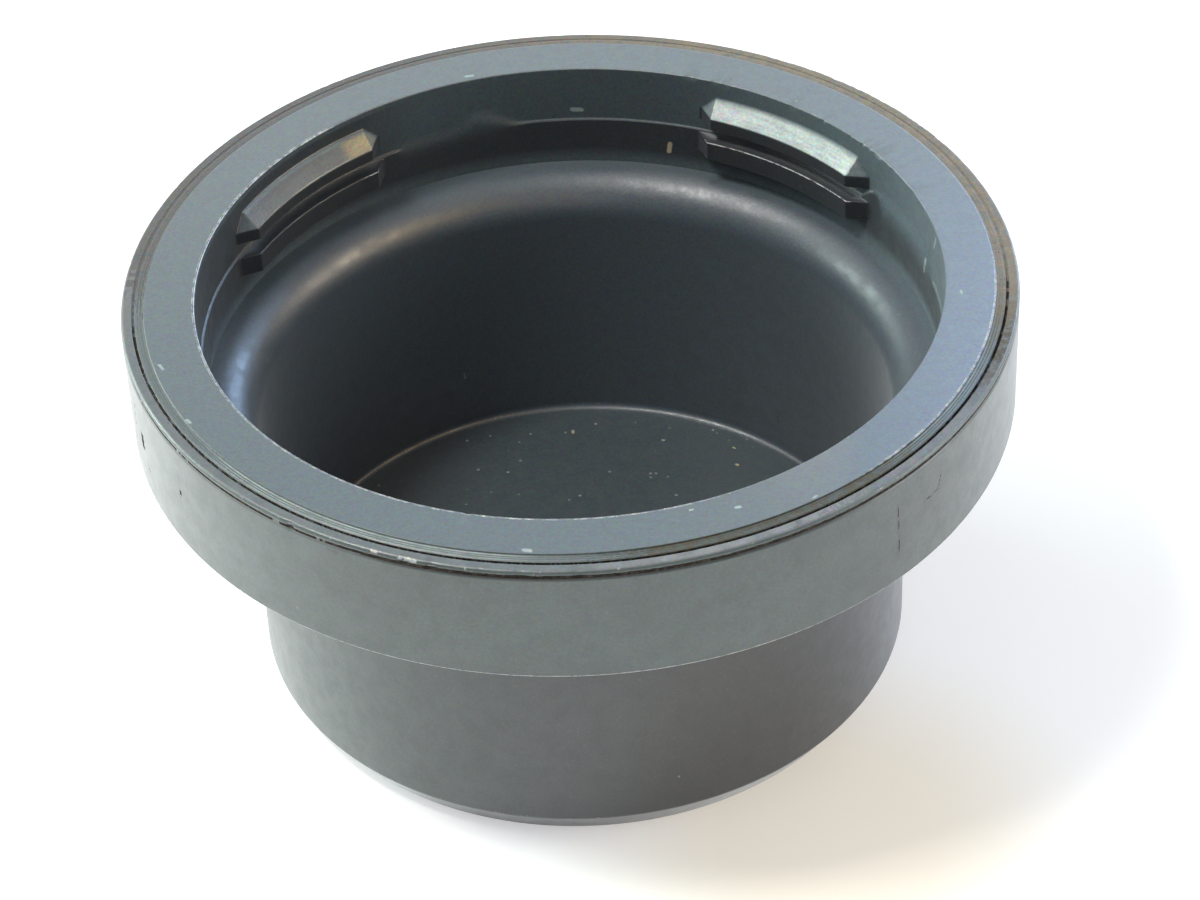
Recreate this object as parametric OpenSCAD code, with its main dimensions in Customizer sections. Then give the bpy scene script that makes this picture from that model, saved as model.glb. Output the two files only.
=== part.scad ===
// Rear lens cap: a deep round cup with a wide flat rim and bayonet lugs inside the mouth.
// One moulded piece. Millimetres, +Z up, origin at the centre of the resting face.

/* [Overall] */
// Height from the resting face to the flat rim
cap_h = 26.7; // [24:0.1:32]
// Radius of the mouth, which goes over the lens mount
mouth_r = 21.9; // [18:0.1:30]
// Height of the flange band
flange_h = 7.8; // [7:0.1:16]

/* [Rim] */
// Width of the rim from the mouth to the outer side of the flange
rim_w = 4.3; // [3.6:0.1:6]
// Chamfer on the edge of the mouth
mouth_bevel = 0.15; // [0.1:0.01:0.2]
// Width of the stepped edge outside the flat rim face
rim_edge_w = 1.35; // [1.2:0.05:1.5]
// Drop from the flat face to the stepped edge
rim_step = 0.1; // [0.06:0.01:0.16]
// Further drop of the stepped edge towards the groove
rim_fall = 0.04; // [0.02:0.01:0.08]
// Distance of the groove from the outer side of the flange
groove_in = 0.72; // [0.65:0.01:0.8]
// Width of the groove in the stepped edge
groove_w = 0.16; // [0.1:0.01:0.2]
// Depth of the groove below the stepped edge
groove_d = 0.22; // [0.1:0.01:0.3]
// Rounding of the outer edge of the flange
edge_round = 0.22; // [0.15:0.01:0.3]
// Bevel along the lower edge of the flange
flange_bevel = 0.2; // [0.1:0.01:0.3]

/* [Lower cup] */
// How far the side of the lower cup stands in from the mouth wall
cup_step = 2.1; // [1.8:0.1:2.4]
// Wall of the lower cup at its foot
cup_wall = 1.0; // [0.9:0.05:1.5]
// How much wider the cup is inside at its top than at its floor
cup_draft = 0.2; // [0.1:0.05:0.3]
// Thickness of the floor
floor_t = 2.0; // [1.5:0.1:3]
// How far the slope at the foot runs in from the side of the cup
foot_in = 1.3; // [0.8:0.1:1.8]
// How far the slope at the foot reaches up the side of the cup
foot_up = 1.9; // [1:0.1:2.4]
// Rounding where the inner wall meets the floor
floor_round = 0.4; // [0.2:0.05:0.6]
// Hollow rounding where the side of the cup meets the underside of the flange
under_round = 1.3; // [1:0.1:1.5]

/* [Bayonet] */
// Number of lugs around the mouth
lug_count = 4; // [3:1:4]
// Turn of the first lug from the right hand side
lug_turn = 49.5; // [0:0.5:89]
// Half of the angle that the inner face of a lug takes up
lug_half_angle = 14.4; // [12:0.1:16]
// How far a lug stands out from the mouth wall
lug_out = 1.05; // [0.8:0.05:1.3]
// Depth of the lugs below the rim
lug_in = 1.15; // [0.9:0.05:1.4]
// Height of a lug at the wall
lug_h = 1.85; // [1.6:0.05:2]
// Depth of the ledge below the rim
ledge_in = 3.75; // [3.5:0.05:4]
// How far the ledge stands in from the mouth wall
ledge_out = 0.15; // [0.1:0.01:0.25]
// How far a stop pad stands in from the mouth wall
pad_out = 1.15; // [0.9:0.05:1.4]
// Drop of the top of a stop pad below the ledge
pad_drop = 0.12; // [0.08:0.01:0.2]
// Height of a stop pad
pad_h = 1.35; // [1.1:0.05:1.6]
// Extra half angle of a stop pad beyond its lug
pad_extra_angle = 0.6; // [0:0.1:1]

/* [Inner shoulder] */
// Thickness of the shoulder above the underside of the flange
shoulder_t = 0.9; // [0.8:0.05:1.2]
// Round edge where the shoulder drops into the cup
shoulder_round = 2.3; // [1.4:0.1:2.3]
// Hollow rounding where the mouth wall meets the shoulder
shoulder_hollow = 0.4; // [0.2:0.05:0.4]

/* [Hidden] */
$fn = 180;
body_colour = [0.13, 0.14, 0.15];
// Overlap that keeps cuts and joins clean
over = 1;
flange_r = mouth_r + rim_w;
cup_r = mouth_r - cup_step;
flange_z = cap_h - flange_h;
shoulder_z = flange_z + shoulder_t;
// Angle swept beyond each lug end before the end is cut, and the size of the cutting block
sweep_spare = 10;
cutter = 8;
// Slant of the lug and pad ends in plan, and the lean of the corner facets above them
end_slant = 45;
corner_lean = acos(1 / sqrt(3));
face_r = flange_r - rim_edge_w;
groove_r = flange_r - groove_in;
lip_z = cap_h - rim_step - rim_fall;
cup_in_low_r = cup_r - cup_wall;
cup_in_top_r = cup_in_low_r + cup_draft;
ledge_r = mouth_r - ledge_out;

// Square with its right and lower sides on the wall and the floor, less the disc that rounds the corner
module corner_fill(x, y, r) {
    translate([x - r, y]) difference() {
        square(r);
        translate([0, r]) circle(r);
    }
}

module outer_profile() {
    // Rounding under the flange: the corner is filled, less the disc that hollows it
    difference() {
        translate([cup_r - over, flange_z - under_round])
            square([under_round + over, under_round + over]);
        translate([cup_r + under_round, flange_z - under_round]) circle(under_round);
    }
    // Lower cup with the slope at its foot
    polygon([
        [0, 0],
        [cup_r - foot_in, 0],
        [cup_r, foot_up],
        [cup_r, flange_z + over],
        [0, flange_z + over]
    ]);
    // Flange and rim: flat face, small step, falling edge and rounded outer lip
    polygon([
        [0, flange_z],
        [flange_r - flange_bevel, flange_z],
        [flange_r, flange_z + flange_bevel],
        [flange_r, lip_z - edge_round],
        [flange_r - edge_round, lip_z],
        [groove_r, lip_z],
        [face_r, cap_h - rim_step],
        [face_r, cap_h],
        [0, cap_h]
    ]);
    translate([flange_r - edge_round, lip_z - edge_round]) circle(edge_round);
}

module hollow_profile() {
    // Mouth land, groove under the ledge, then the cup bore
    translate([0, cap_h - ledge_in]) square([mouth_r, ledge_in + over]);
    polygon([
        [0, cap_h - mouth_bevel],
        [mouth_r, cap_h - mouth_bevel],
        [mouth_r + mouth_bevel + over, cap_h + over],
        [0, cap_h + over]
    ]);
    difference() {
        translate([0, shoulder_z]) square([ledge_r, cap_h - ledge_in - shoulder_z + over]);
        corner_fill(ledge_r, shoulder_z, shoulder_hollow);
    }
    difference() {
        polygon([
            [0, floor_t],
            [cup_in_low_r, floor_t],
            [cup_in_top_r, shoulder_z],
            [cup_in_top_r, shoulder_z + over],
            [0, shoulder_z + over]
        ]);
        corner_fill(cup_in_low_r, floor_t, floor_round);
    }
    // Round edge of the shoulder: the corner is opened, and the disc put back
    difference() {
        translate([cup_in_top_r - over, shoulder_z - shoulder_round])
            square([shoulder_round + over, shoulder_round + over]);
        translate([cup_in_top_r + shoulder_round, shoulder_z - shoulder_round])
            circle(shoulder_round);
        translate([cup_in_top_r - over, shoulder_z - shoulder_round - over])
            square([over, over]);
    }
}

module groove_profile() {
    translate([groove_r - groove_w / 2, lip_z - groove_d]) square([groove_w, groove_d + over]);
}

// Ring sector standing in from the mouth wall, its ends cut off aslant in plan
module wall_block(half_angle, out, z_low, z_high) {
    difference() {
        rotate([0, 0, -half_angle - sweep_spare]) rotate_extrude(angle = 2 * (half_angle + sweep_spare))
            translate([mouth_r - out, z_low]) square([out + over, z_high - z_low]);
        for (side = [0, 1]) mirror([0, side, 0]) rotate([0, 0, half_angle])
            translate([mouth_r, out, z_low - over]) rotate([0, 0, end_slant])
                translate([-cutter / 2, 0, 0]) cube([cutter, cutter, z_high - z_low + 2 * over]);
    }
}

// Lug with a sloping lead in along its top and sloping corners at both ends
module lug() {
    top_z = cap_h - lug_in;
    inner_r = mouth_r - lug_out - over;
    difference() {
        wall_block(lug_half_angle, lug_out, top_z - lug_h, top_z);
        rotate([0, 0, -lug_half_angle - sweep_spare])
            rotate_extrude(angle = 2 * (lug_half_angle + sweep_spare))
                polygon([
                    [mouth_r, top_z],
                    [inner_r, top_z - lug_out - over],
                    [inner_r, top_z + over],
                    [mouth_r + over, top_z + over],
                    [mouth_r + over, top_z]
                ]);
        for (side = [0, 1]) mirror([0, side, 0]) rotate([0, 0, lug_half_angle])
            translate([mouth_r, 0, top_z]) rotate([0, corner_lean, 180 - end_slant])
                translate([-cutter / 2, -cutter / 2, 0]) cube(cutter);
    }
}

module stop_pad() {
    top_z = cap_h - ledge_in - pad_drop;
    wall_block(lug_half_angle + pad_extra_angle, pad_out, top_z - pad_h, top_z);
}

module cap_body() {
    color(body_colour) union() {
        rotate_extrude() difference() {
            outer_profile();
            hollow_profile();
            groove_profile();
        }
        for (i = [0 : lug_count - 1]) rotate([0, 0, lug_turn + i * 360 / lug_count]) {
            lug();
            stop_pad();
        }
    }
}

cap_body();
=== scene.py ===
"""Looks of the rear lens cap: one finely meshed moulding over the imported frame, with a worn plastic
finish, on a plain pale floor. Sizes are in millimetres until a mesh or lamp is made; angles are in
degrees, counter-clockwise from +X as seen from above."""
import math

import bpy
import numpy as np
from mathutils import Matrix, Vector


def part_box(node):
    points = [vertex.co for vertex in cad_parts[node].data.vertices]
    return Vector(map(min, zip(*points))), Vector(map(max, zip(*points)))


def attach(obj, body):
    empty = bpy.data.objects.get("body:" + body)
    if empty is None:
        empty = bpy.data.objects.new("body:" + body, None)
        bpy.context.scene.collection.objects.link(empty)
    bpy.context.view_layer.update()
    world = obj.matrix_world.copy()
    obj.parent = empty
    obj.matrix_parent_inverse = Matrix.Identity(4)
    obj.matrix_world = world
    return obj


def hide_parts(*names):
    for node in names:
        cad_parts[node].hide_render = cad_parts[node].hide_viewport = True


MM = 0.001
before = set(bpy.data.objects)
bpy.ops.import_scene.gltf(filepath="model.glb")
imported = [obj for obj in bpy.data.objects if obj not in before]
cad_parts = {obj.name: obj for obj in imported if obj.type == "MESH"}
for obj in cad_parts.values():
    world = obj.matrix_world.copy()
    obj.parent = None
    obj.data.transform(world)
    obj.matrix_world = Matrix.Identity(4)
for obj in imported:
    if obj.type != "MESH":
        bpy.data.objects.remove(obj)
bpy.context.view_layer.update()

# Overall sizes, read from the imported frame
LOW, HIGH = (np.array(corner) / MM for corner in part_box("cap_body"))
HEIGHT = HIGH[2] - LOW[2]
FLANGE_R = (HIGH[0] - LOW[0]) / 2

# Rim and flange
MOUTH_R = FLANGE_R - 4.3
FACE_R = FLANGE_R - 1.35
LIP_DROP = 0.14
LIP_Z = HEIGHT - LIP_DROP
LIP_ROUND = 0.22
STEP_DROP = 0.10
BAND_SAG = 0.02
GROOVE_R = FLANGE_R - 0.72
GROOVE_W = 0.17
GROOVE_D = 0.22
FLANGE_Z = HEIGHT - 7.8
FLANGE_BEVEL = 0.2
UNDER_ROUND = 1.3

# Notch under the lip, darkened with soot and painted shade: its depth, and its rows (distance below the
# lip, how far in)
NOTCH = 0.10
NOTCH_ROWS = ((0.66, 0), (0.60, 0.02), (0.54, NOTCH), (0.32, NOTCH), (0.28, 0.03), (0.24, 0))

# Rows of the stepped band, outwards from the flat face, and the ones that rise as fine rings
BAND_ROWS = (0.46, 0.42, 0.38, 0.34, 0.30, 0.26, 0.22, 0.18, 0.14, 0.10)
RING_ROWS = (0.10, 0.26, 0.42)

# Heights of the closer rows on the flank, which show the scratches
FLANK_ROWS = np.arange(19.3, 24.7, 0.14)

# Lower cup, inside and out
CUP_R = MOUTH_R - 2.1
FOOT_IN, FOOT_UP = 1.3, 1.9
FLOOR_Z = 2.0
CUP_IN_LOW_R = CUP_R - 1.0
CUP_IN_TOP_R = CUP_IN_LOW_R + 0.2
SHOULDER_Z = FLANGE_Z + 0.9
SHOULDER_ROUND = 2.6
CENTRE_GAP = 0.6

# Bayonet: reach from the mouth wall (OUT), depth below the rim (IN) and height (H), with edges
# rounded by EDGE; distances along the wall are taken at ALONG_R
LUG_COUNT, LUG_TURN, LUG_HALF = 4, 49.5, 14.4
LUG_OUT, LUG_IN, LUG_H = 1.05, 1.15, 1.85
LEDGE_IN, LEDGE_OUT = 3.75, 0.15
PAD_OUT, PAD_DROP, PAD_H, PAD_EXTRA = 1.15, 0.12, 1.35, 0.6
EDGE = 0.1
ALONG_R = MOUTH_R - 0.5
PITCH = 360 / LUG_COUNT
LUG_LOW = LUG_IN + LUG_H
PAD_TOP = LEDGE_IN + PAD_DROP
PAD_LOW = PAD_TOP + PAD_H

# The two lugs that the photo shows, and the left one's end with the warm tip
RIGHT_LUG = LUG_TURN
LEFT_LUG = LUG_TURN + PITCH
LEFT_TIP = LEFT_LUG - LUG_HALF

# Hook of the ledge before the right hand end of each lug: rise in millimetres, the rest in degrees
HOOK_UP, HOOK_START, HOOK_LONG = 0.98, 1.3, 4.2

# Columns: the usual step, closer stretches (from, to, step), and the places around a lug's end
COLUMN_STEP = 0.75
CLOSE_COLUMNS = ((28, 62, 0.3), (228, 278, 0.3), (195, 201.4, 0.2), (311, 320.6, 0.14))
END_COLUMNS = np.arange(-0.9, 3.3, 0.17)
LEAST_STEP = 0.12
LAST_COLUMN = 359.9

# Zones of the section
OUTSIDE, LIP, BAND, FACE, WALL, CUP, BASE = range(7)

rng = np.random.default_rng(7)


# Section of the moulding

def arc(before, corner, after, radius, steps):
    """Points that round a corner of the section, from one straight side to the next."""
    corner = np.array(corner, float)
    a = np.array(before, float) - corner
    b = np.array(after, float) - corner
    a /= np.linalg.norm(a)
    b /= np.linalg.norm(b)
    half = math.acos(np.clip(a @ b, -1, 1)) / 2
    centre = corner + (a + b) / np.linalg.norm(a + b) * radius / math.sin(half)
    start = corner + a * radius / math.tan(half) - centre
    end = corner + b * radius / math.tan(half) - centre
    turn = math.atan2(start[0] * end[1] - start[1] * end[0], start @ end)
    first = math.atan2(start[1], start[0])
    return [centre + radius * np.array([math.cos(t), math.sin(t)])
            for t in first + turn * np.linspace(0, 1, steps + 1)]


def stops_between(length, spacing):
    """Shares of a straight side where rows lie: near both ends if it is long, and evenly between."""
    long_side, most_inset = 0.12, 0.04
    inset = min(most_inset, length / 4)
    ends = [inset / length, 1 - inset / length] if length > long_side else []
    count = int(length / spacing)
    return sorted(ends + [(k + 1) / (count + 1) for k in range(count)])


def trace(corners, spacing):
    """Rows (r, z, zone, wear) along a section given as corners (r, z, rounding, zone, wear)."""
    small_rounding, few_steps, many_steps = 0.5, 4, 12
    places = [c[:2] for c in corners]
    rows = []
    for i, (r, z, rounding, zone, wear_and_highlight) in enumerate(corners):
        before = corners[max(i - 1, 0)][3]
        if rounding and 0 < i < len(corners) - 1:
            steps = few_steps if rounding < small_rounding else many_steps
            turned = arc(places[i - 1], places[i], places[i + 1], rounding, steps)
        else:
            turned = [np.array([r, z], float)]
        if rows:
            last = np.array(rows[-1][:2])
            gap = turned[0] - last
            rows += [(*(last + gap * share), before, 0.0)
                     for share in stops_between(np.linalg.norm(gap), spacing)]
        middle = (len(turned) - 1) / 2
        for k, (x, y) in enumerate(turned):
            near = 1 - abs(k - middle) / (middle + 1)
            rows.append((x, y, zone if k > middle else before, wear_and_highlight * min(1, near * 1.3)))
    return rows


shell = trace([
    (CENTRE_GAP, 0, 0, OUTSIDE, 0),
    (CUP_R - FOOT_IN, 0, 0.12, OUTSIDE, 0.2),
    (CUP_R, FOOT_UP, 0.35, OUTSIDE, 0.5),
    (CUP_R, FLANGE_Z, UNDER_ROUND, OUTSIDE, 0),
    (FLANGE_R - FLANGE_BEVEL, FLANGE_Z, 0.06, OUTSIDE, 0.9),
    (FLANGE_R, FLANGE_Z + FLANGE_BEVEL, 0.12, OUTSIDE, 1.0),
    *((FLANGE_R, z, 0, OUTSIDE, 0) for z in FLANK_ROWS),
    *((FLANGE_R - sunk, LIP_Z - below, 0, OUTSIDE, 0) for below, sunk in NOTCH_ROWS),
    (FLANGE_R, LIP_Z, LIP_ROUND, LIP, 1.0),
    (GROOVE_R + GROOVE_W / 2, LIP_Z, 0.03, BAND, 0.3),
    (GROOVE_R + GROOVE_W / 2, LIP_Z - GROOVE_D, 0.03, BAND, 0),
    (GROOVE_R - GROOVE_W / 2, LIP_Z - GROOVE_D, 0.03, BAND, 0),
    (GROOVE_R - GROOVE_W / 2, LIP_Z, 0.03, BAND, 0.2),
    *((FACE_R + out, HEIGHT - STEP_DROP - BAND_SAG, 0, BAND, 0) for out in BAND_ROWS),
    (FACE_R, HEIGHT - STEP_DROP, 0.03, BAND, 0),
    (FACE_R, HEIGHT, 0.05, FACE, 0.9),
    (FACE_R - 0.12, HEIGHT, 0, FACE, 0.9),
    (MOUTH_R + 0.14, HEIGHT, 0, FACE, 1.0),
    (MOUTH_R, HEIGHT, 0.08, WALL, 1.0),
    (MOUTH_R, HEIGHT - 0.3, 0, WALL, 0),
], 2.0)
cup = trace([
    (MOUTH_R - LEDGE_OUT, SHOULDER_Z + 0.3, 0, WALL, 0),
    (MOUTH_R - LEDGE_OUT, SHOULDER_Z + 0.006, 0, WALL, 0),
    (MOUTH_R - LEDGE_OUT, SHOULDER_Z, 0, CUP, 0),
    (MOUTH_R - LEDGE_OUT - 0.006, SHOULDER_Z, 0, CUP, 0),
    (CUP_IN_TOP_R, SHOULDER_Z, SHOULDER_ROUND, CUP, 0),
    (CUP_IN_LOW_R, FLOOR_Z, 0.4, BASE, 0.35),
    (CENTRE_GAP, FLOOR_Z, 0, BASE, 0),
], 1.6)


def wall_rows():
    """Rows of the wall that carries the lugs and pads: (depth below the rim, lug reach, pad reach)."""
    edge_turn = np.radians(np.linspace(0, 90, 5))
    lug_depths = (*np.linspace(0.45, 1.0, 4), *np.arange(1.08, 2.35, 0.07), 2.5, 2.7)
    ledge_depths = (*np.arange(3.04, 3.6, 0.09), *np.arange(3.64, PAD_TOP - 0.04, 0.045), PAD_TOP - 0.02)
    rows = [(depth, LUG_OUT, 0) for depth in lug_depths]
    rows += [(LUG_LOW - EDGE + EDGE * math.sin(t), LUG_OUT - EDGE * (1 - math.cos(t)), 0)
             for t in edge_turn]
    rows += [(LUG_LOW + 0.02, 0, 0)]
    rows += [(depth, 0, 0) for depth in ledge_depths]
    rows += [(PAD_TOP + EDGE * (1 - math.cos(t)), 0, PAD_OUT - EDGE * (1 - math.sin(t)))
             for t in edge_turn]
    rows += [(depth, 0, PAD_OUT) for depth in (4.3, 4.7, 5.0)]
    rows += [(PAD_LOW - EDGE + EDGE * math.sin(t), 0, PAD_OUT - EDGE * (1 - math.cos(t)))
             for t in edge_turn]
    rows += [(depth, 0, 0) for depth in (PAD_LOW + 0.02, 5.32, 5.6, 5.85)]
    return rows


# Columns around the cap, closer where there is more to show

def columns():
    """Angles of the columns, without any that crowd the one before."""
    turns = [np.arange(0, 360, COLUMN_STEP)] + [np.arange(*stretch) for stretch in CLOSE_COLUMNS]
    for lug in range(LUG_COUNT):
        for side in (-1, 1):
            turns.append(LUG_TURN + lug * PITCH + side * (LUG_HALF + END_COLUMNS))
    turns = np.sort(np.concatenate(turns) % 360)
    kept = [turns[0]]
    for turn in turns[1:]:
        if turn - kept[-1] > LEAST_STEP and turn < LAST_COLUMN:
            kept.append(turn)
    return np.array(kept)


turn = columns()


def soft_min(a, b, k):
    """The lesser of two values, with a smooth change where they differ by less than k."""
    h = np.clip(0.5 + 0.5 * (b - a) / k, 0, 1)
    return b * (1 - h) + a * h - k * h * (1 - h)


def soft_step(x):
    """0 below 0, 1 above 1 and a smooth rise between."""
    x = np.clip(x, 0, 1)
    return x * x * (3 - 2 * x)


def beyond(half):
    """How far each column lies past the nearest lug's end, along the wall; negative over the lug."""
    off = np.abs((turn - LUG_TURN + PITCH / 2) % PITCH - PITCH / 2)
    return ALONG_R * np.sin(np.radians(off - half))


def span(middle, half, fade):
    """For each column: 1 within half of middle, fading to 0 over fade degrees."""
    off = np.abs((turn - middle + 180) % 360 - 180)
    return soft_step((half + fade - off) / fade)


def patchy(base, *patches):
    """For each column: a base amount and patches, each (amount, middle, half, fade)."""
    total = base
    for amount, *place in patches:
        total = total + amount * span(*place)
    return total


# The grid: one list of values per row, with one value for each column

past_lug = np.maximum(beyond(LUG_HALF), 0)
past_pad = np.maximum(beyond(LUG_HALF + PAD_EXTRA), 0)

# The ledge climbs in the hook and falls back further on, but hardly at the left lug
before_lug = (LUG_TURN - LUG_HALF - turn + PITCH / 2) % PITCH - PITCH / 2
up_hook = np.sin(np.clip((before_lug - HOOK_START) / HOOK_LONG, 0, 1) * math.pi / 2)
hook_here = (1 - 0.97 * span(LEFT_LUG - 17, 14, 4)) * (1 - soft_step((before_lug - 20) / 8))
ledge_depth = LEDGE_IN - HOOK_UP * hook_here * up_hook

# Past the hook the ledge runs out into the wall, and returns further on
run_out = soft_step((before_lug - 5.5) / 2) * (1 - soft_step((before_lug - 22) / 8))
ledge_blur = 0.07 + 1.1 * run_out

# How pale the edges of the ledge, the pads and the lug ends are, as painted highlights where they catch
# the light; how much of the lugs' pale reaches their end facets; and the painted shade that darkens the
# left wall
hook_glint = 0.4 * span(32.3, 1.5, 0.6)
pad_edge_highlight = patchy(0.05, (0.9, RIGHT_LUG, 16, 1), (0.9, LEFT_TIP, 2.0, 1))
end_edge_highlight = patchy(0, (0.9, RIGHT_LUG, 20, 1), (0.5, LEFT_TIP, 4, 1))
ledge_seen = patchy(1, (-0.9, 108, 20, 6), (-0.4, 172, 20, 6))
shade = patchy(0, (0.8, 160, 30, 18))
facet_scraped_and_lit = patchy(0.15, (0.5, 124, 2, 1))

# How full of dirt the groove is, how deep the notch is and how far the rings rise
groove_fill = patchy(0, (0.85, 90, 85, 20))
notch_deep = span(292, 34, 24)
ring_up = patchy(0.01, (0.03, 240, 22, 14))

rows_r, rows_z, rows_zone, rows_wear_and_highlight, rows_lug, rows_painted_shade = [], [], [], [], [], []


# lug is how pale a point's lug top is, from scraping and painted light; pad is how much painted shade it
# carries
def add_row(r, z, zone, wear_and_highlight, lug=0, pad=0):
    for rows, value in ((rows_r, r), (rows_z, z), (rows_wear_and_highlight, wear_and_highlight), (rows_lug, lug), (rows_painted_shade, pad)):
        rows.append(value + np.zeros_like(turn))
    rows_zone.append(zone)


def add_shell_row(r, z, zone, wear_and_highlight):
    """A row of the outside; the groove fills with dirt, the notch fades and the rings rise."""
    if abs(r - GROOVE_R) < GROOVE_W / 2 + 0.01 and z < LIP_Z - 0.01:
        z = z + (LIP_Z - z) * groove_fill
    elif abs(FLANGE_R - NOTCH - r) < 0.001 and LIP_Z - 0.6 < z < LIP_Z - 0.3:
        r = FLANGE_R - NOTCH * (0.3 + 0.7 * notch_deep)
    elif round(r - FACE_R, 2) in RING_ROWS and z > LIP_Z - 0.05:
        z = z + ring_up
    add_row(r, z, zone, wear_and_highlight)


def add_wall_row(depth, lug, pad):
    """A row of the wall with the ledge, cut by a lug, by a pad or by neither."""
    ledge = soft_step((depth - ledge_depth) / ledge_blur + 0.5)
    inner = MOUTH_R - LEDGE_OUT * ledge
    lug_top = soft_min(np.full_like(turn, lug), np.full_like(turn, depth - LUG_IN), 0.08) - past_lug
    lug_r = MOUTH_R - np.maximum(lug_top, 0) if lug else np.full_like(turn, MOUTH_R)
    pad_r = MOUTH_R - np.maximum(pad - past_pad, 0) if pad else np.full_like(turn, MOUTH_R)

    on_lug = bool(lug) and depth < LUG_IN + LUG_OUT
    slope = soft_step(lug_top / 0.3) * on_lug
    # Painted highlight along the crest of the ledge and its hook, and along the pad tops and lug ends,
    # where these edges catch the light
    wear_and_highlight = ledge * (1 - ledge) * 4 * (0.55 + hook_glint) * (1 - run_out) * ledge_seen
    if pad and PAD_TOP + EDGE * 0.15 < depth < PAD_TOP + EDGE * 0.95:
        wear_and_highlight = np.maximum(wear_and_highlight, (past_pad < 0.3) * pad_edge_highlight)
    if on_lug:
        at_end = np.abs(beyond(LUG_HALF - 0.1)) < 0.1
        wear_and_highlight = np.maximum(wear_and_highlight, at_end * (lug_top > 0.1) * end_edge_highlight)

    # Painted shade, carried on as the pad value: below the ledge, on the pad fronts, on the lugs' faces
    # below their slopes and on the left wall
    blurred_ledge = ledge_depth * (1 - run_out) + LEDGE_IN * run_out
    dark = 0.85 * soft_step((depth - blurred_ledge) / (0.07 + 2 * run_out) + 0.5)
    if pad:
        dark = np.maximum(dark, past_pad < PAD_OUT + 0.2)
    elif lug and depth > LUG_IN + LUG_OUT:
        dark = np.maximum(dark, past_lug < LUG_OUT + 0.1)
    dark = np.maximum(dark, shade * (depth > 0.4) * (slope < 0.05))
    # The lugs' sloping tops turn pale, from scraping and as painted light, less so on their end facets
    scraped_and_lit = slope * np.where(past_lug > 0, facet_scraped_and_lit, 1)
    add_row(np.minimum(inner, np.minimum(lug_r, pad_r)), HEIGHT - depth, WALL, wear_and_highlight, scraped_and_lit, dark)


for row in shell:
    add_shell_row(*row)
for row in wall_rows():
    add_wall_row(*row)
for row in cup:
    add_row(*row)

R, Z = np.array(rows_r), np.array(rows_z)
row_zone = np.array(rows_zone)
zone = row_zone[:, None] + np.zeros_like(R)
wear_and_highlight = np.array(rows_wear_and_highlight)
lug_scraped_and_lit = np.array(rows_lug)
angle = np.radians(turn)
grid = np.stack([R * np.cos(angle), R * np.sin(angle), Z], axis=-1)
print("mesh rows and columns", grid.shape)


# Dents

def normals(grid):
    """Unit normal at each point, away from the plastic."""
    around = np.roll(grid, -1, axis=1) - np.roll(grid, 1, axis=1)
    along = np.gradient(grid, axis=0)
    n = np.cross(around, along)
    return n / np.maximum(np.linalg.norm(n, axis=-1, keepdims=True), 1e-9)


def place(r, turned, z):
    """Point at a radius, an angle and a height."""
    return np.array([r * math.cos(math.radians(turned)), r * math.sin(math.radians(turned)), z])


# Knocks in the edges that the photo shows: (radius, angle, height, size, depth)
DENTS = [
    (FLANGE_R, 233.4, LIP_Z - 0.3, 0.35, 0.12),
    (FLANGE_R, 249.0, LIP_Z - 0.15, 0.4, 0.05),
    (FLANGE_R, 252.4, LIP_Z - 0.15, 0.45, 0.07),
    (FLANGE_R, 263.0, LIP_Z - 0.15, 0.4, 0.05),
    (FLANGE_R, 269.7, LIP_Z - 0.15, 0.35, 0.05),
    (MOUTH_R, 49.9, HEIGHT, 0.35, 0.08),
    (MOUTH_R, 30.7, HEIGHT, 0.3, 0.07),
    (MOUTH_R, 18.9, HEIGHT, 0.35, 0.08),
    (MOUTH_R, 254.2, HEIGHT, 0.25, 0.05),
    (MOUTH_R, 105.0, HEIGHT, 0.25, 0.05),
]
# Small random ones: (count, radius, height, and the ranges of angle, size and depth)
SMALL_DENTS = [
    (36, FLANGE_R - 0.1, LIP_Z - 0.05, (28, 62), (0.15, 0.3), (0.01, 0.03)),
    (40, FLANGE_R - 0.05, LIP_Z - 0.1, (0, 360), (0.15, 0.3), (0.01, 0.025)),
    (34, MOUTH_R, HEIGHT - 0.05, (22, 78), (0.1, 0.22), (0.03, 0.07)),
]
DEEPEST_DENT = 0.15


def dented(grid):
    """The grid with its edges knocked in along the surface normals."""
    dents = list(DENTS)
    for count, r, z, turns, sizes, depths in SMALL_DENTS:
        for _ in range(count):
            dents.append((r, rng.uniform(*turns), z, rng.uniform(*sizes), rng.uniform(*depths)))
    sunk = np.zeros_like(R)
    for r, turned, z, size, depth in dents:
        away = np.linalg.norm(grid - place(r, turned, z), axis=-1)
        sunk += depth * np.exp(-(away / size) ** 2 * 2)
    return grid - normals(grid) * np.minimum(sunk, DEEPEST_DENT)[..., None]


grid = dented(grid)


# Wear, painted edge highlights and dirt, as values of each point

# Where edges are rubbed pale, partly as painted highlights where edges catch the light, more at some
# places than at others: (amount, middle, half, fade)
mouth_edge = patchy(0.15, (0.2, 45, 30, 12), (0.75, 168, 34, 10), (0.35, 270, 60, 20),
                    (0.5, 240, 40, 10), (0.3, 285, 5, 5))
lip_edge = patchy(0.08, (0.8, 50, 8, 4), (0.3, 305, 14, 8), (0.35, 233, 8, 5), (0.8, 245.6, 0.7, 0.5),
                  (0.9, 249.4, 1.0, 0.5), (0.5, 256, 0.5, 0.5), (0.6, 265, 0.4, 0.5),
                  (0.5, 273, 0.5, 0.5), (0.5, 275, 0.4, 0.5), (0.4, 278, 0.5, 0.5))
step_edge = patchy(0.05, (1, 335, 22, 12), (0.2, 240, 22, 12))

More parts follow.
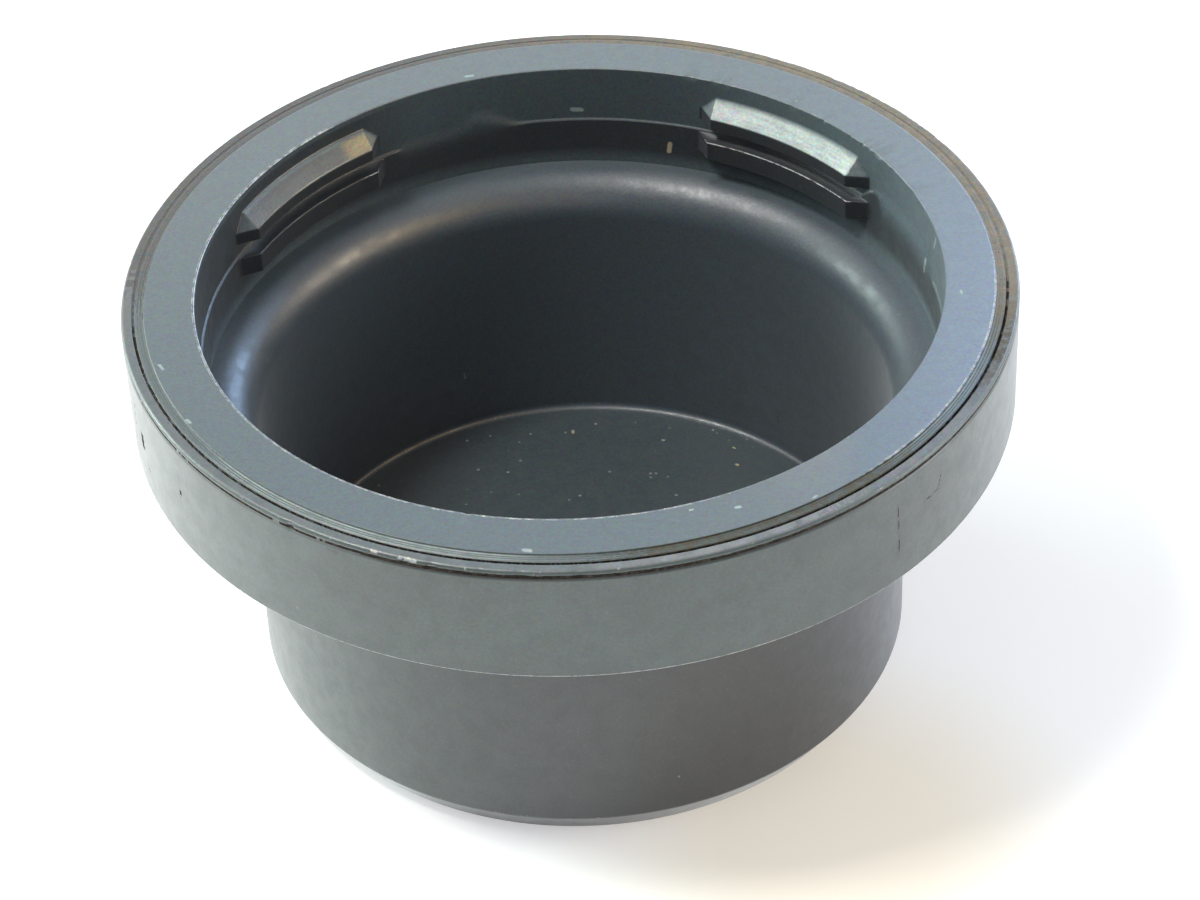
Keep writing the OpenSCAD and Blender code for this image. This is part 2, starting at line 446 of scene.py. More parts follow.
# Rows of each edge, found by their height at the first column and their mean radius
rise = Z[:, 0]
reach = R.mean(axis=1)
is_mouth = (np.abs(reach - MOUTH_R) < 0.3) & (rise > HEIGHT - 0.4)
is_lip = (reach > GROOVE_R + 0.2) & (rise > LIP_Z - LIP_ROUND - 0.01)
is_step = (np.abs(reach - FACE_R) < 0.15) & (rise > HEIGHT - 0.1)
is_under = (reach > FLANGE_R - NOTCH - 0.01) & (rise > LIP_Z - 0.56) & (rise < LIP_Z - 0.30)
is_ring = np.isin(np.round(reach - FACE_R, 2), RING_ROWS) & (row_zone == BAND)
for rows, amount in ((is_mouth, mouth_edge), (is_lip, lip_edge), (is_step, step_edge)):
    wear_and_highlight[rows] *= np.clip(amount, 0, 1)
ring = is_ring[:, None] * patchy(0.15, (1, 240, 18, 10), (0.5, 330, 10, 10))
# Soot and painted shade along the notch under the lip
under_lip = is_under[:, None] * (0.35 + 0.65 * notch_deep)
dirt = (zone == BAND) * patchy(0.25, (0.85, 298, 16, 12), (1.1, 80, 90, 20))
dirt += (zone == LIP) * patchy(0.15, (1.1, 80, 100, 15))

layers = {
    "wear_and_highlight": wear_and_highlight,
    "rim_face": (zone == FACE).astype(float),
    "lip": (zone == LIP) * patchy(0.35, (0.65, 315, 35, 15)),
    "under_lip": under_lip,
    "ring": ring,
    # pad holds painted shade: below the ledge, on the pads, on the lugs' faces below their slopes and on
    # the left wall
    "pad": np.array(rows_painted_shade),
    "band": ((zone == BAND) | (zone == LIP)).astype(float),
    "dirt": dirt,
    "base": (zone == BASE) * soft_step((CUP_IN_LOW_R + 0.3 - R) / 0.6),
    # Lug tops pale from scraping and painted light, and the left lug brown as painted shade
    "lug": lug_scraped_and_lit,
    "left_lug_shaded": lug_scraped_and_lit * span(LEFT_LUG, 20, 2),
    "lug_tip": lug_scraped_and_lit * span(LEFT_TIP, 3, 3),
}


# Mesh of the moulding

def skin(name, grid, layers):
    """Closed mesh from a grid of rows and columns, with a fan at each end, and its point values."""
    rows, cols = grid.shape[:2]
    ends = [np.array([0, 0, grid[0, 0, 2]]), np.array([0, 0, grid[-1, 0, 2]])]
    points = np.concatenate([grid.reshape(-1, 3), ends])
    here = np.arange(cols)
    ahead = (here + 1) % cols
    faces = []
    for row in range(rows - 1):
        a, b = row * cols, (row + 1) * cols
        faces += np.stack([a + here, a + ahead, b + ahead, b + here], axis=1).tolist()
    faces += np.stack([np.full(cols, rows * cols), ahead, here], axis=1).tolist()
    last = (rows - 1) * cols
    faces += np.stack([np.full(cols, rows * cols + 1), last + here, last + ahead], axis=1).tolist()
    mesh = bpy.data.meshes.new(name)
    mesh.from_pydata((points * MM).tolist(), [], faces)
    mesh.update()
    mesh.polygons.foreach_set("use_smooth", np.ones(len(mesh.polygons), dtype=bool))
    for layer, values in layers.items():
        data = mesh.attributes.new(layer, "FLOAT", "POINT")
        flat = np.concatenate([values.ravel(), values[0, :1], values[-1, :1]])
        data.data.foreach_set("value", flat.astype(np.float32))
    piece = bpy.data.objects.new(name, mesh)
    bpy.context.scene.collection.objects.link(piece)
    return piece


cap = skin("cap_moulding", grid, layers)


# Finish

class Nodes:
    """Short ways to add nodes to a tree and join them."""

    def __init__(self, tree):
        self.tree = tree

    def add(self, kind, **settings):
        node = self.tree.nodes.new(kind)
        for key, value in settings.items():
            setattr(node, key, value)
        return node

    def feed(self, socket, value):
        if isinstance(value, bpy.types.NodeSocket):
            self.tree.links.new(value, socket)
        elif value is not None:
            socket.default_value = value

    def math(self, operation, a, b=None, c=None, clamp=False):
        node = self.add("ShaderNodeMath", operation=operation, use_clamp=clamp)
        for socket, value in zip(node.inputs, (a, b, c)):
            self.feed(socket, value)
        return node.outputs[0]

    def times(self, a, b, clamp=False):
        return self.math("MULTIPLY", a, b, clamp=clamp)

    def vector(self, operation, a, b=None, scale=None):
        node = self.add("ShaderNodeVectorMath", operation=operation)
        self.feed(node.inputs[0], a)
        self.feed(node.inputs[1], b)
        if scale is not None:
            self.feed(node.inputs["Scale"], scale)
        return node.outputs["Value"] if operation in ("LENGTH", "DOT_PRODUCT") else node.outputs[0]

    def along(self, where, direction):
        return self.vector("DOT_PRODUCT", where, direction)

    def blend(self, amount, a, b, kind="MIX"):
        node = self.add("ShaderNodeMix", data_type="RGBA", blend_type=kind)
        self.feed(node.inputs["Factor"], amount)
        self.feed(node.inputs["A"], a)
        self.feed(node.inputs["B"], b)
        return node.outputs["Result"]

    def remap(self, value, low, high, to_low=0.0, to_high=1.0, smooth=True):
        kind = "SMOOTHSTEP" if smooth else "LINEAR"
        node = self.add("ShaderNodeMapRange", interpolation_type=kind)
        ends = (("From Min", low), ("From Max", high), ("To Min", to_low), ("To Max", to_high))
        for key, number in ends:
            node.inputs[key].default_value = number
        self.feed(node.inputs["Value"], value)
        return node.outputs["Result"]

    def noise(self, where, scale, detail=2.0, roughness=0.5, output="Fac"):
        node = self.add("ShaderNodeTexNoise")
        self.feed(node.inputs["Vector"], where)
        node.inputs["Scale"].default_value = scale
        node.inputs["Detail"].default_value = detail
        node.inputs["Roughness"].default_value = roughness
        return node.outputs[output]

    def shaken(self, where, amount):
        """Each point moved at random by up to about half the amount, to fray the marks."""
        shift = self.vector("SUBTRACT", self.noise(where, 3.0, output="Color"), (0.5, 0.5, 0.5))
        return self.vector("ADD", where, self.vector("SCALE", shift, scale=amount))

    def specks(self, where, scale, size):
        """Small dots, one to some of the cells of a grid."""
        node = self.add("ShaderNodeTexVoronoi")
        self.feed(node.inputs["Vector"], where)
        node.inputs["Scale"].default_value = scale
        chosen = self.remap(node.outputs["Color"], 0.8, 0.9)
        return self.times(self.remap(node.outputs["Distance"], size, size * 0.4), chosen)

    def value(self, layer):
        return self.add("ShaderNodeAttribute", attribute_name=layer).outputs["Fac"]

    def surface(self, shader):
        self.feed(self.add("ShaderNodeOutputMaterial").inputs["Surface"], shader.outputs[0])


def new_material(name):
    """An empty material, its nodes, and the place on the object in millimetres."""
    mat = bpy.data.materials.new(name)
    mat.use_nodes = True
    mat.node_tree.nodes.clear()
    n = Nodes(mat.node_tree)
    return mat, n, n.vector("SCALE", n.add("ShaderNodeTexCoord").outputs["Object"], scale=1 / MM)


def stroke_group():
    """Node group: how strongly a point lies on a short line of a given width."""
    tree = bpy.data.node_groups.new("stroke", "ShaderNodeTree")
    for name, kind in (("Point", "Vector"), ("Start", "Vector"), ("Along", "Vector"), ("Width", "Float")):
        tree.interface.new_socket(name, in_out="INPUT", socket_type="NodeSocket" + kind)
    tree.interface.new_socket("Mask", in_out="OUTPUT", socket_type="NodeSocketFloat")
    n = Nodes(tree)
    given = n.add("NodeGroupInput").outputs
    rest = n.vector("SUBTRACT", given["Point"], given["Start"])
    share = n.math("DIVIDE", n.along(rest, given["Along"]), n.along(given["Along"], given["Along"]),
                   clamp=True)
    off = n.vector("LENGTH", n.vector("SUBTRACT", rest, n.vector("SCALE", given["Along"], scale=share)))
    mask = n.math("SUBTRACT", 1.0, n.math("DIVIDE", off, given["Width"]), clamp=True)
    n.feed(n.add("NodeGroupOutput").inputs["Mask"], mask)
    return tree


stroke = stroke_group()


def strokes(n, where, marks):
    """Mask of all the marks, each a start, an end and a half width in millimetres."""
    no_point_marks = (0, 0, 1e-4)
    total = None
    for start, end, width in marks:
        node = n.add("ShaderNodeGroup")
        node.node_tree = stroke
        n.feed(node.inputs["Point"], where)
        node.inputs["Start"].default_value = start
        node.inputs["Along"].default_value = np.subtract(end, start) + no_point_marks
        node.inputs["Width"].default_value = width
        mask = node.outputs["Mask"]
        total = mask if total is None else n.math("MAXIMUM", total, mask)
    return total


def marks(*lines):
    """Marks from lines, each a start and an end (radius, angle, height) and a half width."""
    return [(place(*start), place(*end), half_width) for start, end, half_width in lines]


FLANK_MARKS = marks(
    ((FLANGE_R, 196.1, 25.3), (FLANGE_R, 195.7, 23.9), 0.12),
    ((FLANGE_R, 195.7, 23.9), (FLANGE_R, 195.3, 22.3), 0.12),
    ((FLANGE_R, 198.7, 22.9), (FLANGE_R, 198.6, 22.2), 0.50),
    ((FLANGE_R, 199.8, 21.4), (FLANGE_R, 200.6, 20.9), 0.12),
    ((FLANGE_R, 211.7, 24.4), (FLANGE_R, 211.4, 22.2), 0.12),
    ((FLANGE_R, 213.8, 24.6), (FLANGE_R, 213.9, 23.2), 0.10),
    ((FLANGE_R, 320.2, 24.5), (FLANGE_R, 319.7, 23.5), 0.12),
    ((FLANGE_R, 319.7, 23.5), (FLANGE_R, 317.0, 23.4), 0.12),
    ((FLANGE_R, 311.9, 24.5), (FLANGE_R, 312.2, 22.6), 0.15),
    ((FLANGE_R, 312.2, 22.6), (FLANGE_R, 312.3, 20.8), 0.10),
    ((FLANGE_R, 238.6, 25.7), (FLANGE_R, 240.2, 25.7), 0.10),
)
RIM_SPOTS = marks(
    ((24.54, 263.2, HEIGHT), (24.6, 263.9, HEIGHT), 0.22),
    ((23.25, 291.6, HEIGHT), (23.3, 292.1, HEIGHT), 0.16),
    ((22.49, 285.6, HEIGHT), (22.5, 286.0, HEIGHT), 0.10),
    ((24.49, 196.2, HEIGHT), (24.4, 197.2, HEIGHT), 0.14),
    ((24.73, 208.9, HEIGHT), (24.7, 209.6, HEIGHT), 0.14),
    ((22.35, 104.6, HEIGHT), (22.4, 105.6, HEIGHT), 0.16),
    ((24.64, 301.2, HEIGHT), (24.6, 301.7, HEIGHT), 0.10),
    ((22.86, 351.7, HEIGHT), (22.8, 352.3, HEIGHT), 0.10),
)
WALL_SPOTS = marks(
    ((21.9, 87.1, HEIGHT - 3.1), (21.9, 88.6, HEIGHT - 3.05), 0.22),
    ((21.9, 11.9, HEIGHT - 3.3), (21.9, 12.1, HEIGHT - 4.1), 0.28),
    ((21.9, 7.3, HEIGHT - 0.5), (21.9, 8.4, HEIGHT - 1.4), 0.16),
    ((21.9, 20.9, HEIGHT - 4.3), (21.9, 21.6, HEIGHT - 3.9), 0.16),
)
CUP_SPOTS = marks(((18.9, 112.8, HEIGHT - 20.4), (18.9, 112.6, HEIGHT - 20.8), 0.10))
WARM_WALL_SPOTS = marks(((21.75, 72.2, HEIGHT - 5.2), (21.75, 72.4, HEIGHT - 5.8), 0.22))
WARM_FLOOR_SPOTS = marks(
    ((16.3, 91.3, FLOOR_Z), (16.1, 91.3, FLOOR_Z), 0.14),
    ((15.8, 49.4, FLOOR_Z), (15.8, 49.9, FLOOR_Z), 0.12),
    ((17.1, 53.5, FLOOR_Z), (17.1, 53.9, FLOOR_Z), 0.10),
    ((15.9, 69.5, FLOOR_Z), (15.9, 69.9, FLOOR_Z), 0.10),
)

CHARCOAL = (0.044, 0.062, 0.058, 1)
CUP_GREY = (0.046, 0.064, 0.062, 1)
# Painted shade: the lower cup turns this purple towards its right side
CUP_PURPLE_SHADE = (0.021, 0.021, 0.028, 1)
# The rim face colours are a painted reflection of a bluish sky: grey on the left, blue to the right,
# paler at the back
RIM_GREY_REFLECTION = (0.078, 0.106, 0.116, 1)
RIM_BLUE_REFLECTION = (0.162, 0.206, 0.288, 1)
RIM_PALE_REFLECTION = (0.118, 0.142, 0.146, 1)
LIP_SILVER = (0.20, 0.20, 0.205, 1)
RING_PALE = (0.34, 0.43, 0.41, 1)
INNER_BLACK = (0.056, 0.074, 0.088, 1)
FLOOR_BLACK = (0.02, 0.035, 0.03, 1)
# The wall is painted half as light again towards the right, as painted light
WALL_BLACK = (0.072, 0.096, 0.106, 1)
# Painted shade below the ledge, on the pads, below the lugs' slopes and on the left wall
PAINTED_SHADE_BLACK = (0.018, 0.018, 0.020, 1)
# Lug tops: pale from scraping and painted light, and brown painted shade on the left lug
LUG_SCRAPED_AND_LIT = (0.47, 0.54, 0.51, 1)
LUG_BROWN_SHADED = (0.115, 0.115, 0.105, 1)
LUG_TIP = (0.36, 0.28, 0.15, 1)
# Rubbed edges, and painted highlights along edges that catch the light
RUBBED_AND_HIGHLIGHT = (0.42, 0.43, 0.41, 1)
BROWN_DIRT = (0.19, 0.155, 0.105, 1)
GREY_DIRT = (0.105, 0.095, 0.086, 1)
BAND_DIRT = (0.060, 0.051, 0.028, 1)
GRIME = (0.02, 0.02, 0.02, 1)
# Soot in marks, and painted shade in the groove and along the notch under the lip
SOOT_AND_SHADE = (0.038, 0.034, 0.031, 1)
SOOT_AND_SHADE_PALE = (0.10, 0.085, 0.07, 1)
DUST = (0.30, 0.32, 0.30, 1)

# Paint of the marks: colour and strength
DARK = (0.014, 0.013, 0.013, 0.62)
PALE = (0.33, 0.40, 0.38, 0.75)
WARM = (0.42, 0.38, 0.25, 0.85)


def lighter(colour, times):
    """The colour with each part multiplied."""
    return tuple(c * times for c in colour[:3]) + (1,)


def outside_colour(n, where, patches, cloud, grain):
    """Greenish charcoal flank with painted purple shade on the right of the lower cup, a rim face painted
    with a bluish reflection that the stepped band shares in part, a silvery lip, and brown dirt in the
    stepped band.
    """
    dirt = n.value("dirt")
    along_x, along_y, height = (n.along(where, axis) for axis in ((1, 0, 0), (0, 1, 0), (0, 0, 1)))
    # Painted reflection on the rim face, bluer to the right and paler at the back
    rim = n.blend(n.remap(along_x, 8, 32), RIM_GREY_REFLECTION, RIM_BLUE_REFLECTION)
    rim = n.blend(n.remap(along_y, -20, 22, 0.0, 0.8), rim, RIM_PALE_REFLECTION)
    # Painted shade: purple towards the right of the lower cup
    lower_cup_shaded = n.blend(n.remap(along_x, -16, 6), CUP_GREY, CUP_PURPLE_SHADE)
    below_flange = n.times(n.remap(height, FLANGE_Z - 0.1, FLANGE_Z - 0.4), 0.9)

    colour = n.blend(n.remap(patches, 0.35, 0.65), CHARCOAL, lighter(CHARCOAL, 1.25))
    colour = n.blend(below_flange, colour, lower_cup_shaded)
    colour = n.blend(n.value("rim_face"), colour, rim)
    # The stepped band takes part of the painted rim reflection
    colour = n.blend(n.times(n.value("band"), 0.45), colour, rim)
    colour = n.blend(n.times(n.value("lip"), n.remap(cloud, 0.25, 0.7, 0.2, 0.9)), colour, LIP_SILVER)

    mottle = n.remap(n.noise(where, 2.2, 4, 0.7), 0.35, 0.6, 0.3, 0.9)
    far_dirt = n.blend(n.remap(along_x, -14, 12), GREY_DIRT, BROWN_DIRT)
    all_dirt = n.blend(n.remap(along_y, -10, 0), BAND_DIRT, far_dirt)
    colour = n.blend(n.times(dirt, mottle, clamp=True), colour, all_dirt)
    colour = n.blend(n.times(n.value("ring"), n.remap(cloud, 0.35, 0.6, 0.35, 0.85)), colour, RING_PALE)
    return n.blend(n.remap(grain, 0.55, 0.8, 0.0, 0.12), colour, DUST)


def inside_colour(n, where, patches, cloud, grain):
    """Near black wall and cup, the wall lighter to the right as painted light, painted shade below the
    ledge, on the pads, below the lugs' slopes and on the left wall, and pale lug tops: scraped, and
    painted light on the right lug, with the left lug brown as painted shade.
    """
    base = n.value("base")
    along_x, along_y, height = (n.along(where, axis) for axis in ((1, 0, 0), (0, 1, 0), (0, 0, 1)))
    # Painted light: the wall is lighter towards the right, where the lamp falls, less so past the lugs
    past_lugs = n.remap(along_y, 7, 13, 1.0, 0.2)
    lit_to_right = n.times(n.remap(along_x, 4, 20), past_lugs)
    wall_lit_right = n.blend(lit_to_right, WALL_BLACK, lighter(WALL_BLACK, 1.5))

    colour = n.blend(n.remap(height, SHOULDER_Z - 0.1, SHOULDER_Z + 0.1), INNER_BLACK, wall_lit_right)
    # Painted shade from the pad value
    colour = n.blend(n.times(n.value("pad"), 0.85), colour, PAINTED_SHADE_BLACK)
    colour = n.blend(n.times(base, 0.35), colour, FLOOR_BLACK)

    # Lug tops: scraped and painted light, with the left lug brown as painted shade
    scraped_and_lit = n.blend(n.value("left_lug_shaded"), LUG_SCRAPED_AND_LIT, LUG_BROWN_SHADED)
    scraped_and_lit = n.blend(n.value("lug_tip"), scraped_and_lit, LUG_TIP)
    streaks = n.noise(n.vector("MULTIPLY", where, (0.25, 0.25, 2.2)), 2.4, 4, 0.7)
    colour = n.blend(n.times(n.value("lug"), n.remap(streaks, 0.3, 0.65, 0.65, 1.0)), colour, scraped_and_lit)
    colour = n.blend(n.remap(grain, 0.55, 0.8, 0.0, 0.08), colour, DUST)
    floor_dust = n.times(n.specks(where, 2.6, 0.35), base)
    return n.blend(n.times(floor_dust, 0.7), colour, DUST)


def notch_soot_and_shade(n, colour, frayed):
    """Soot and painted shade along the notch under the lip, with a frayed edge."""
    under = n.value("under_lip")
    sooty_and_shaded = n.remap(n.math("ADD", under, n.times(frayed, 1.2)), 0.25, 0.5)
    return n.blend(n.times(sooty_and_shaded, n.math("GREATER_THAN", under, 0.01)), colour, SOOT_AND_SHADE)


def plastic(name, base_colour, painted, sheen, coat, specular, notch=False):
    """Worn moulded plastic; painted is a list of marks and their paint."""
    mat, n, where = new_material(name)
    patches = n.noise(where, 0.16, 4)
    cloud = n.noise(where, 0.9, 5, 0.6)
    grain = n.noise(where, 5.5, 3, 0.6)
    frayed = n.math("SUBTRACT", n.noise(where, 2.6, 5, 0.75), 0.5)

    colour = base_colour(n, where, patches, cloud, grain)
    colour = n.blend(n.remap(cloud, 0.3, 0.75, 0.0, 0.15), colour, GRIME)
    dust = n.times(n.specks(where, 1.1, 0.12), n.remap(patches, 0.45, 0.6))
    colour = n.blend(n.times(dust, 0.7), colour, DUST)
    if notch:
        colour = notch_soot_and_shade(n, colour, frayed)
    # Rubbed edges, with painted highlights along edges that catch the light
    wear_and_highlight = n.value("wear_and_highlight")
    rubbed_and_highlight = n.remap(n.math("ADD", wear_and_highlight, n.times(frayed, 2.6)), 0.6, 0.95)
    rubbed_and_highlight = n.times(rubbed_and_highlight, n.remap(wear_and_highlight, 0.02, 0.2))
    colour = n.blend(n.times(rubbed_and_highlight, 0.9), colour, RUBBED_AND_HIGHLIGHT)
    shaken = n.shaken(where, 0.12)
    for lines, paint in painted:
        mask = n.remap(strokes(n, shaken, lines), 0.1, 0.6, 0, paint[3])
        colour = n.blend(mask, colour, paint[:3] + (1,))
    fine = n.vector("ADD", n.noise(where, 6.0, 1, output="Color"), (0.5, 0.5, 0.5))
    colour = n.blend(1.0, colour, fine, kind="MULTIPLY")

    rough = n.remap(cloud, 0.3, 0.7, 0.36, 0.50)
    rough = n.math("ADD", rough, n.times(rubbed_and_highlight, 0.08), clamp=True)
    rough = n.math("ADD", rough, n.times(n.value("dirt"), 0.2), clamp=True)
    height = n.math("ADD", n.times(grain, 0.012), n.times(n.noise(where, 2.2, 2), 0.008))
    height = n.times(height, n.remap(n.value("rim_face"), 0, 1, 1, 0.35, smooth=False))
    bump = n.add("ShaderNodeBump")
    bump.inputs["Strength"].default_value = 0.8
    bump.inputs["Distance"].default_value = MM
    n.feed(bump.inputs["Height"], height)

    shader = n.add("ShaderNodeBsdfPrincipled")
    n.feed(shader.inputs["Base Color"], colour)
    n.feed(shader.inputs["Roughness"], rough)
    n.feed(shader.inputs["Normal"], bump.outputs["Normal"])
    shader.inputs["Specular IOR Level"].default_value = specular
    shader.inputs["Sheen Weight"].default_value = sheen
    shader.inputs["Sheen Roughness"].default_value = 0.35
    shader.inputs["Coat Weight"].default_value = coat
    shader.inputs["Coat Roughness"].default_value = 0.45
    n.surface(shader)
    return mat


def soot_and_shade():
    """Dull dark finish: soot in chips and marks, and painted shade in the groove and along the notch
    under the lip.
    """
    mat, n, where = new_material("soot_and_shade")
    shader = n.add("ShaderNodeBsdfPrincipled")
    mottle = n.remap(n.noise(where, 3.5, 4, 0.7), 0.42, 0.7)
    n.feed(shader.inputs["Base Color"], n.blend(mottle, SOOT_AND_SHADE, SOOT_AND_SHADE_PALE))
    n.feed(shader.inputs["Roughness"], n.remap(mottle, 0, 1, 0.75, 0.95))
    shader.inputs["Specular IOR Level"].default_value = 0.0
    n.surface(shader)
    return mat


# Materials, in the order of their slots
OUTSIDE_SLOT, INSIDE_SLOT, GRIMY_SLOT, MATTE_SLOT, SOOT_AND_SHADE_SLOT = range(5)
MATERIALS = (
    plastic("moulded_plastic_outside", outside_colour, [(FLANK_MARKS, DARK), (RIM_SPOTS, PALE)],
            sheen=0.75, coat=0.3, specular=0.85, notch=True),
    plastic("moulded_plastic_inside", inside_colour, [(CUP_SPOTS, PALE), (WARM_FLOOR_SPOTS, WARM)],
            sheen=0.45, coat=0.0, specular=0.85),
    plastic("moulded_plastic_grimy", outside_colour, [], sheen=0.15, coat=0.0, specular=0.4),
    plastic("moulded_plastic_matte", inside_colour, [(WALL_SPOTS, PALE), (WARM_WALL_SPOTS, WARM)],
            sheen=0.12, coat=0.0, specular=0.5),
    soot_and_shade(),
)


def face_slots():
    """Slot of each face: the inside apart from its matte wall, and the outside apart from the
    grimy far lip and band and from the dull dark finish: soot in the marks, soot and painted shade in the
    notch, and painted shade in the groove."""
    middle = (grid[1:] + grid[:-1]) / 2
    r, z = np.hypot(middle[..., 0], middle[..., 1]), middle[..., 2]
    chance = rng.random(r.shape)
    ragged = np.convolve(rng.random(len(turn) + 4), np.ones(5) / 5, "valid")
    broken = rng.random(len(turn))

    inner = np.broadcast_to(np.arange(len(r))[:, None] >= np.argmax(row_zone == WALL), r.shape)
    zones = np.broadcast_to(row_zone[:-1, None], r.shape)
    slots = np.where(inner, INSIDE_SLOT, OUTSIDE_SLOT)
    slots[zones == WALL] = MATTE_SLOT
    slots[(zones == LIP) & (chance < span(60, 112, 14))] = GRIMY_SLOT
    slots[(zones == BAND) & (chance < span(48, 128, 12))] = GRIMY_SLOT

    depth = LIP_Z - z
    low, high = 0.50 + 0.06 * notch_deep, 0.32 - (0.02 + 0.14 * ragged) * notch_deep
    in_notch = (r > FLANGE_R - 0.2) & (depth > high) & (depth < low) & (ragged > 0.34 - 0.5 * notch_deep)
    in_groove = (np.abs(r - GROOVE_R) < GROOVE_W / 2 + 0.01) & (depth > 0.03) & (depth < 0.3)
    in_groove &= (broken > 0.1 + 1.6 * groove_fill) & (chance < 0.85)
    # The dark finish in the groove is painted shade; in the notch it is soot and painted shade
    slots[~inner & (in_notch | in_groove)] = SOOT_AND_SHADE_SLOT

    wide_mark = 0.18
    for start, end, half_width in FLANK_MARKS:
        along = end - start
        share = np.clip(((middle - start) @ along) / (along @ along), 0, 1)
        off = np.linalg.norm(middle - start - share[..., None] * along, axis=-1)
        core = half_width * (0.5 if half_width > wide_mark else 0.13)
        slots[off < core * (0.5 + chance)] = SOOT_AND_SHADE_SLOT
    return np.concatenate([slots.ravel(), np.repeat([OUTSIDE_SLOT, INSIDE_SLOT], len(turn))])


for material in MATERIALS:
    cap.data.materials.append(material)
cap.data.polygons.foreach_set("material_index", face_slots())
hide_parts("cap_body")
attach(cap, "root")


# Floor, light and camera, in metres

WHITE = (1, 1, 1, 1)


def floor():
    """White table that the camera and reflections see a little brighter, brighter still towards the
    camera as painted light, with a painted warm shadow near the foot.
    """
    half_size = 3.0
    # Painted warm shadow on the table near the foot: its middle, and where it starts and ends fading
    warm_shadow_middle, warm_shadow_from, warm_shadow_to = (0.014, -0.020, 0), 0.005, 0.019
    # Painted light: the table glows brighter towards the camera
    near_from, near_to, far_glow, near_glow = -0.03, -0.07, 0.43, 0.53
    mesh = bpy.data.meshes.new("floor")
    signs = ((-1, -1), (1, -1), (1, 1), (-1, 1))
    mesh.from_pydata([(half_size * x, half_size * y, 0) for x, y in signs], [], [(0, 1, 2, 3)])
    piece = bpy.data.objects.new("floor", mesh)
    bpy.context.scene.collection.objects.link(piece)

    mat = bpy.data.materials.new("white_table")
    mat.use_nodes = True
    mat.node_tree.nodes.clear()
    n = Nodes(mat.node_tree)
    path = n.add("ShaderNodeLightPath").outputs
    reflected = n.math("MAXIMUM", path["Is Glossy Ray"], path["Is Transmission Ray"])
    seen = n.math("MAXIMUM", path["Is Camera Ray"], reflected)
    where = n.add("ShaderNodeTexCoord").outputs["Object"]
    from_middle = n.vector("LENGTH", n.vector("SUBTRACT", where, warm_shadow_middle))
    # Painted warm shadow near the foot, for what the camera and reflections see
    warm_shadow = n.blend(n.remap(from_middle, warm_shadow_from, warm_shadow_to), (0.92, 0.85, 0.73, 1), WHITE)
    warm_shadow = n.blend(seen, WHITE, warm_shadow)
    paper = n.add("ShaderNodeBsdfDiffuse")
    own = n.blend(seen, (0.74, 0.74, 0.74, 1), (0.75, 0.76, 0.74, 1))
    n.feed(paper.inputs["Color"], n.blend(1.0, own, warm_shadow, kind="MULTIPLY"))
    glow = n.add("ShaderNodeEmission")
    # Painted light: the glow rises towards the camera
    strength = n.remap(n.along(where, (0, 1, 0)), near_from, near_to, far_glow, near_glow)
    n.feed(glow.inputs["Color"], n.blend(1.0, (0.99, 0.97, 1, 1), warm_shadow, kind="MULTIPLY"))
    n.feed(glow.inputs["Strength"], n.times(seen, strength))
    both = n.add("ShaderNodeAddShader")
    n.feed(both.inputs[0], paper.outputs[0])
    n.feed(both.inputs[1], glow.outputs[0])
    n.surface(both)
    mesh.materials.append(mat)


def soft_box(name, place, size, power, colour, aim=(0, 0, 0.02), reflection_only=False):
    """A flat lamp of some width and height that faces the cap, hidden from the camera."""
    data = bpy.data.lights.new(name, "AREA")
    data.shape = "RECTANGLE"
    data.size, data.size_y = size
    data.energy = power
    data.color = colour
    lamp = bpy.data.objects.new(name, data)
    lamp.location = place
    lamp.rotation_euler = (Vector(aim) - Vector(place)).to_track_quat("-Z", "Y").to_euler()
    lamp.visible_diffuse = not reflection_only
    lamp.visible_camera = False
    bpy.context.scene.collection.objects.link(lamp)


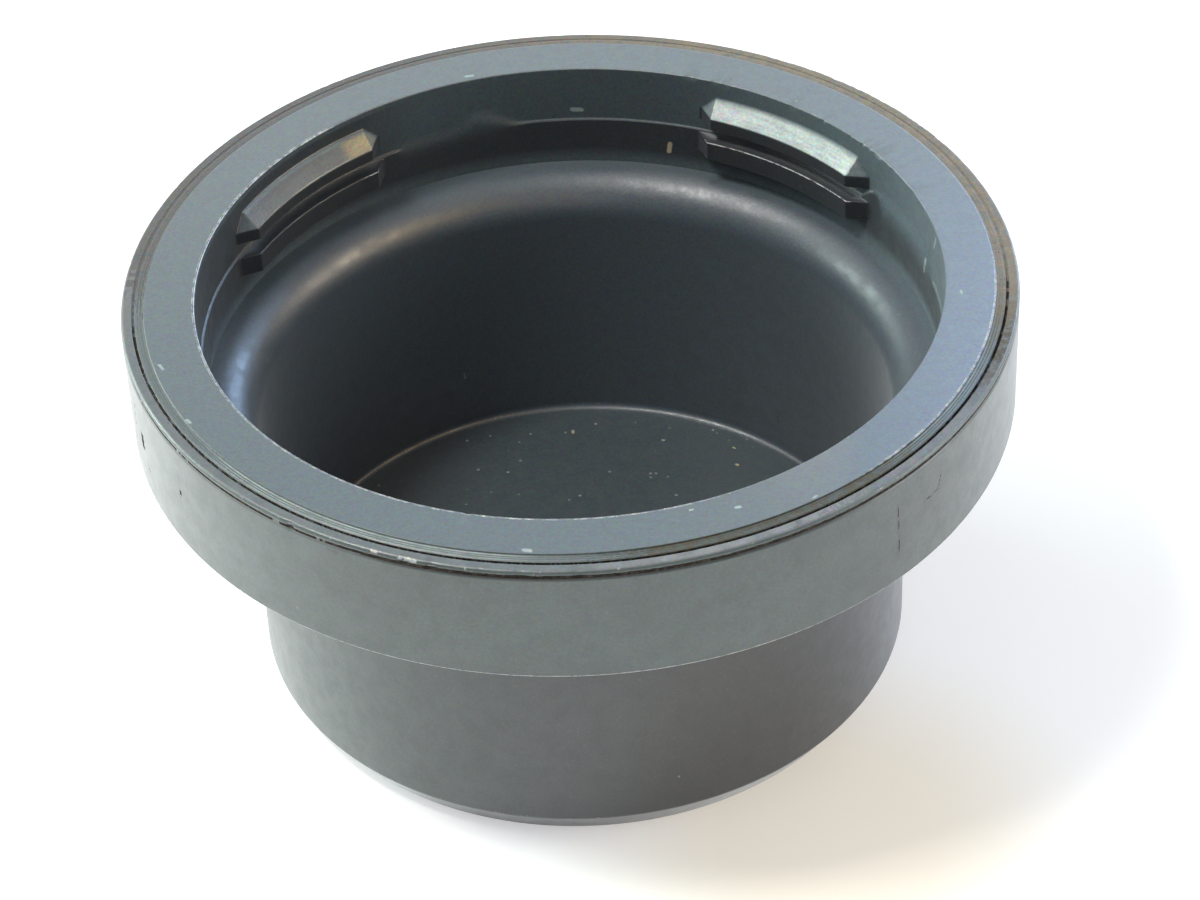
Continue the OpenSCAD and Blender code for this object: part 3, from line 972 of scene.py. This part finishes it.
def lamps():
    """Lamp above on the left, window behind on the right, boxes that stand for the walls, and a
    small warm card above the mouth for the inner shoulder."""
    soft_box("lamp", (-0.23, -0.055, 0.50), (0.12, 0.12), 2.1, (1.0, 0.985, 0.95))
    soft_box("window", (0.31, 0.48, 0.17), (0.22, 0.22), 0.4, (0.50, 0.68, 1.0))
    soft_box("window_gloss", (0.32, 0.46, 0.21), (0.34, 0.26), 3.3, (0.44, 0.66, 1.0),
             reflection_only=True)
    soft_box("wall", (-0.525, 0.23, 0.17), (0.30, 0.30), 3.1, (0.84, 1.0, 0.95))
    soft_box("warm_card", (0.016, 0.0045, 0.033), (0.018, 0.011), 0.0042, (1.0, 0.60, 0.20),
             aim=(-1, 0.0045, 0.033), reflection_only=True)
    soft_box("front", (0.0, -0.60, 0.28), (0.35, 0.35), 0.3, (1.0, 1.0, 1.0))
    soft_box("right", (0.58, -0.06, 0.20), (0.30, 0.30), 1.7, (0.97, 1.0, 1.0))


def surroundings():
    """White where the camera sees past the floor; else soft light, dimmer on the camera's side."""
    near_side, near_from, near_to = (0, -0.8, -0.6), -0.35, 0.45
    world = bpy.data.worlds.new("studio")
    bpy.context.scene.world = world
    world.use_nodes = True
    world.node_tree.nodes.clear()
    n = Nodes(world.node_tree)
    towards = n.add("ShaderNodeTexCoord").outputs["Generated"]
    nearness = n.remap(n.along(towards, near_side), near_from, near_to)
    room = n.blend(nearness, (0.62, 0.64, 0.68, 1), (0.14, 0.14, 0.14, 1))
    path = n.add("ShaderNodeLightPath").outputs
    seen = n.math("MAXIMUM", path["Is Camera Ray"], path["Is Transmission Ray"])
    background = n.add("ShaderNodeBackground")
    n.feed(background.inputs["Color"], n.blend(seen, room, WHITE))
    n.feed(n.add("ShaderNodeOutputWorld").inputs["Surface"], background.outputs[0])


def camera():
    """The photo's camera: looks along +Y from above at a point near the middle of the cap."""
    aim = Vector((1.354, 0, 13.522)) * MM
    distance, elevation, roll = 0.22714, math.radians(39.121), math.radians(-2.498)
    data = bpy.data.cameras.new("camera")
    data.sensor_width = 36
    data.lens = 112.423
    data.clip_start = 0.01
    cam = bpy.data.objects.new("camera", data)
    turned = Matrix.Rotation(math.pi / 2 - elevation, 4, "X") @ Matrix.Rotation(roll, 4, "Z")
    away = Vector((0, -math.cos(elevation), math.sin(elevation))) * distance
    cam.matrix_world = Matrix.Translation(aim + away) @ turned
    bpy.context.scene.collection.objects.link(cam)
    bpy.context.scene.camera = cam


floor()
lamps()
surroundings()
camera()
bpy.context.scene.view_settings.view_transform = "Standard"
